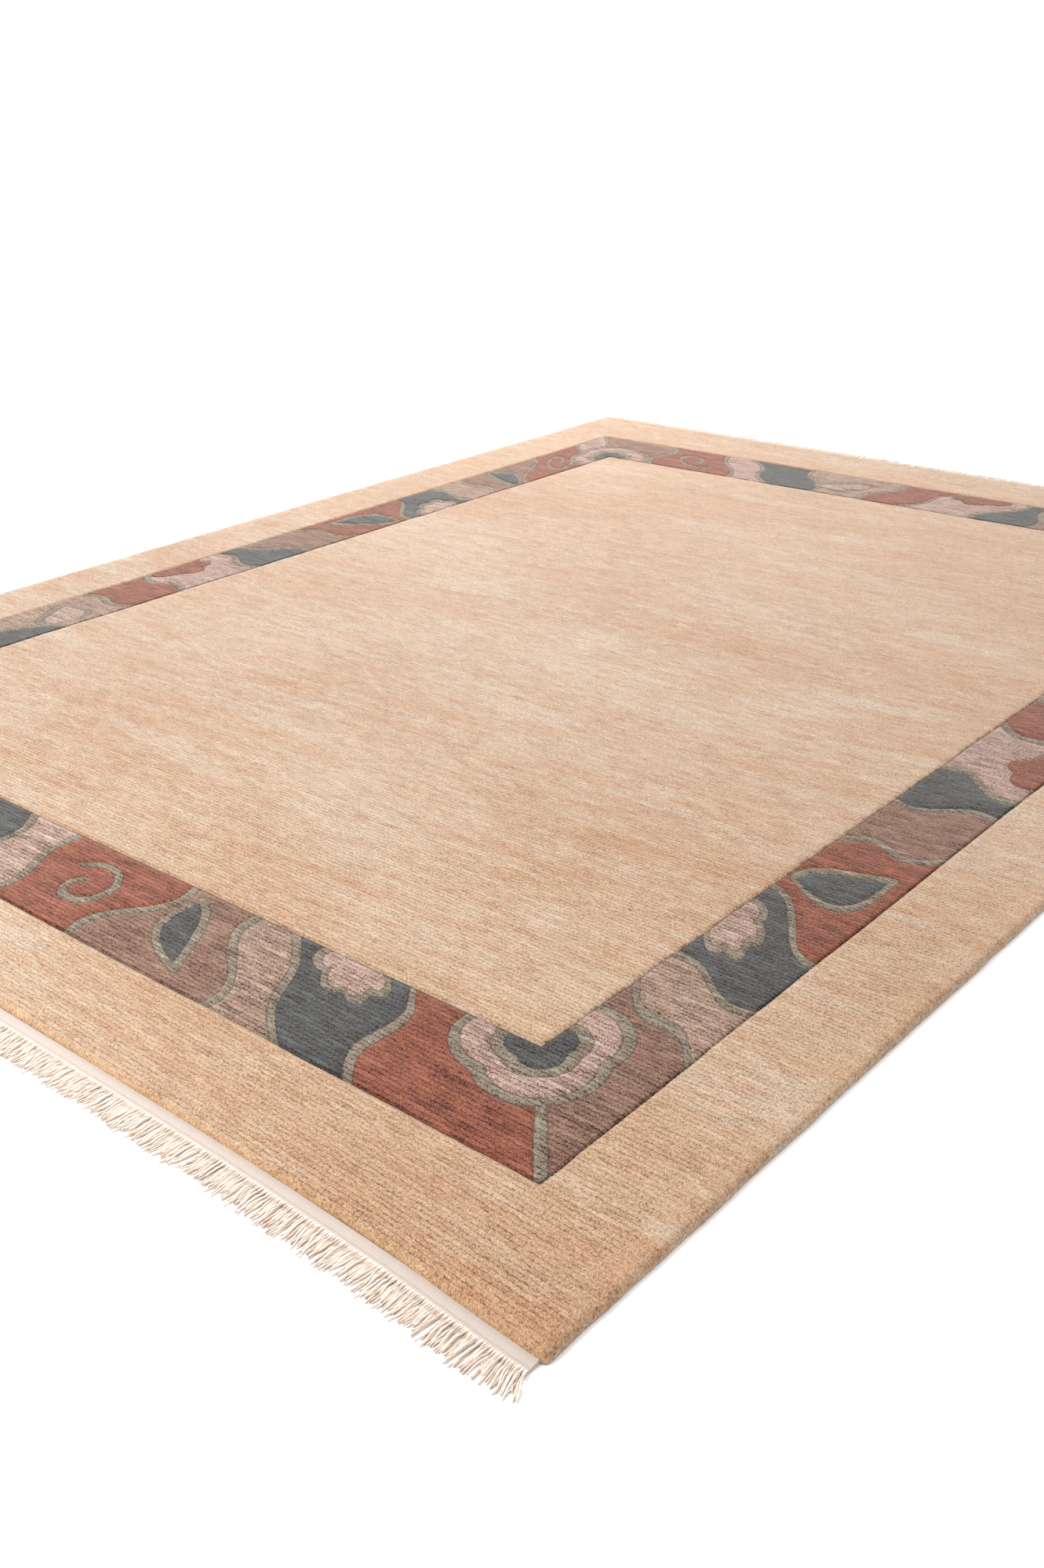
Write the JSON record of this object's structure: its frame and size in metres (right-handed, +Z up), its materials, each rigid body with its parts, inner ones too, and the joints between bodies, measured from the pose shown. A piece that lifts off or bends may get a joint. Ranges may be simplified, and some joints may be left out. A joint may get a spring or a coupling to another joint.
{
  "type": "tibetan rug",
  "caption": "Hand-knotted wool rug lying flat: plain sand field, carved patchwork border, flat-woven strip and short fringe at both ends.",
  "frame": {"origin": "on the floor, under the middle of the rug's outline", "axes": "+X along the fringed ends, to the right seen from the near end; +Y along the sides, away from the near end; +Z up, out of the pile"},
  "size_m": [1.973, 2.706, 0.012],
  "materials": {
    "wool_pile": "cut wool pile, matt with a soft sheen",
    "warp_cotton": "plain woven and twisted cotton, matt"
  },
  "bodies": {
    "root": {"pile_rug": "wool_pile", "fringe_near": "warp_cotton", "fringe_far": "warp_cotton"}
  },
  "joints": []
}
